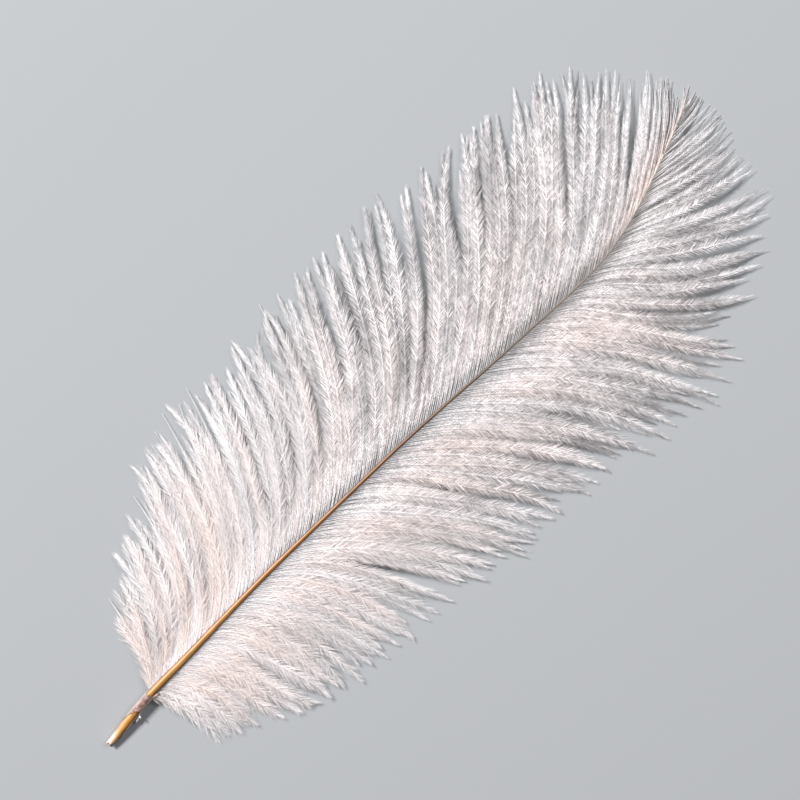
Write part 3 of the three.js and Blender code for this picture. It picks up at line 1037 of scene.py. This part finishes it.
def plume_tree():
    """Geometry nodes that turn polylines of barbs into rami with two rows of barbules."""
    tree = bpy.data.node_groups.new("barbs_and_barbules", "GeometryNodeTree")
    sockets = tree.interface
    sockets.new_socket("Barbs", in_out="INPUT", socket_type="NodeSocketGeometry")
    numbers = [
        ("Barbule pitch", 0.40 * MM), ("Barbule width", 0.034), ("Barbule sweep", 0.12),
        ("Least angle", 0.60), ("Most angle", 0.76), ("Gather", 0.16), ("Sag", 0.12),
        ("Tilt", 0.12), ("Roll", 0.18), ("Scatter", 0.05), ("Full reach", 4.2 * MM),
        ("Lowest point", 0.0),
    ]
    for name, value in numbers:
        socket = sockets.new_socket(name, in_out="INPUT", socket_type="NodeSocketFloat")
        socket.default_value = value
    sockets.new_socket("Seed", in_out="INPUT", socket_type="NodeSocketInt")
    sockets.new_socket("Down", in_out="INPUT", socket_type="NodeSocketMaterial")
    sockets.new_socket("Plume", in_out="OUTPUT", socket_type="NodeSocketGeometry")
    given = add(tree, "NodeGroupInput").outputs
    curves = add(tree, "GeometryNodeMeshToCurve", {"Mesh": given["Barbs"]}).outputs[0]
    plume = joined(tree, ramus_tubes(tree, curves), barbule_rows(tree, given, curves))

    # Nothing reaches below the table, and each strand has its own strip of the map.
    place = places(tree)
    height = maths(tree, "MAXIMUM", place["Z"], given["Lowest point"])
    plume = moved(tree, plume, "Position", xyz(tree, place["X"], place["Y"], height))
    u = added(tree, times(tree, value_from(tree, "share"), MAP_LENGTH),
              times(tree, value_from(tree, "blade_w"), MAP_BREADTH))
    v = added(tree, value_from(tree, "row"),
              maths(tree, "DIVIDE", value_from(tree, "blade_v"), STRIPS))
    plume = stored(tree, plume, "OFBake", xyz(tree, u, v), "FLOAT2", "CORNER")
    look = {"Geometry": plume, "Material": given["Down"]}
    add(tree, "NodeGroupOutput", {"Plume": add(tree, "GeometryNodeSetMaterial", look).outputs[0]})
    return tree


def strand_mesh(name, barbs, chosen):
    """The chosen barbs as bare polylines carrying their values."""
    points = barbs["points"][chosen]
    rows, steps = points.shape[:2]
    mesh = bpy.data.meshes.new(name)
    start = (np.arange(rows) * steps)[:, None] + np.arange(steps - 1)[None, :]
    edges = np.stack([start.ravel(), start.ravel() + 1], 1)
    mesh.from_pydata(placed(points.reshape(-1, 3)).tolist(), edges.tolist(), [])
    strip = (np.arange(rows) + 0.5) / STRIPS
    for key in ("share", "reach", "thick", "peach", "tan", "under", "soft"):
        scale = MM if key in ("reach", "thick") else 1.0
        mark(mesh, key, barbs[key][chosen] * scale)
    mark(mesh, "row", np.broadcast_to(strip[:, None], (rows, steps)))
    return mesh


# Values that only the growing needs.
WORKING_VALUES = (
    "share", "reach", "thick", "row", "blade_v", "blade_w", "forward", "which", "number",
)


def grow(name, barbs, chosen, tree, material, inputs):
    """Runs the node tree on some barbs and returns the plain, finished piece."""
    bare_name = name + "_strands"
    strands = bpy.data.objects.new(bare_name, strand_mesh(bare_name, barbs, chosen))
    bpy.context.collection.objects.link(strands)
    modifier = strands.modifiers.new("grow", "NODES")
    modifier.node_group = tree
    sockets = [item for item in tree.interface.items_tree if item.in_out == "INPUT"]
    identifier = {socket.name: socket.identifier for socket in sockets}
    for key, value in {**inputs, "Down": material}.items():
        modifier[identifier[key]] = value
    evaluated = strands.evaluated_get(bpy.context.evaluated_depsgraph_get())
    mesh = bpy.data.meshes.new_from_object(evaluated)
    mesh.name = name
    for key in WORKING_VALUES:
        if key in mesh.attributes:
            mesh.attributes.remove(mesh.attributes[key])
    bpy.data.objects.remove(strands)
    piece = bpy.data.objects.new(name, mesh)
    bpy.context.collection.objects.link(piece)
    return piece


tree = plume_tree()

# Name, first and last station, and how the barbules differ from those in the middle.
REGIONS = [
    ("low", 0, 105, {
        "Barbule pitch": 0.34 * MM, "Barbule width": 0.025, "Barbule sweep": 0.24,
        "Least angle": 0.56, "Most angle": 0.82, "Gather": 0.03, "Tilt": 0.24, "Roll": 0.55,
        "Scatter": 0.13,
    }),
    ("middle", 105, 195, {}),
    ("high", 195, 300, {
        "Barbule pitch": 0.37 * MM, "Barbule width": 0.038, "Barbule sweep": 0.10,
        "Most angle": 0.78, "Gather": 0.17,
    }),
]

# Side, name, guide barbs and seed of each vane.
VANES = [(-1, "left", LEFT_GUIDES, 5), (1, "right", RIGHT_GUIDES, 8)]
for side, word, guides, seed in VANES:
    barbs = grown_barbs(guides, side, seed)
    for region, low, high, barbules in REGIONS:
        chosen = (barbs["station"] >= low) & (barbs["station"] < high)
        inputs = {"Lowest point": cad_low.z + TABLE_GAP, "Seed": seed * 100, **barbules}
        piece = grow(f"barbs_{word}_{region}", barbs, chosen, tree, down, inputs)
        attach(piece, "root")
        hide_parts("vane_" + word)

# --------------------------------------
# The camera
# It looks straight down, turned so that the feather lies from lower left to upper right.
# --------------------------------------

CAMERA_HEIGHT = 1.0  # metres above the table
PICTURE_WIDTH = 270.9 * MM  # at the table
CAMERA_AIM = (-3.05 * MM, 152.3 * MM)  # from the quill's cut end, along X and Y
SENSOR = 36.0

camera_data = bpy.data.cameras.new("camera")
camera_data.sensor_width = SENSOR
camera_data.lens = SENSOR * CAMERA_HEIGHT / PICTURE_WIDTH
camera = bpy.data.objects.new("camera", camera_data)
bpy.context.collection.objects.link(camera)
camera.location = (
    shift[0] * MM + CAMERA_AIM[0], shift[1] * MM + CAMERA_AIM[1], CAMERA_HEIGHT
)
camera.rotation_euler = (0.0, 0.0, turn)
bpy.context.scene.camera = camera
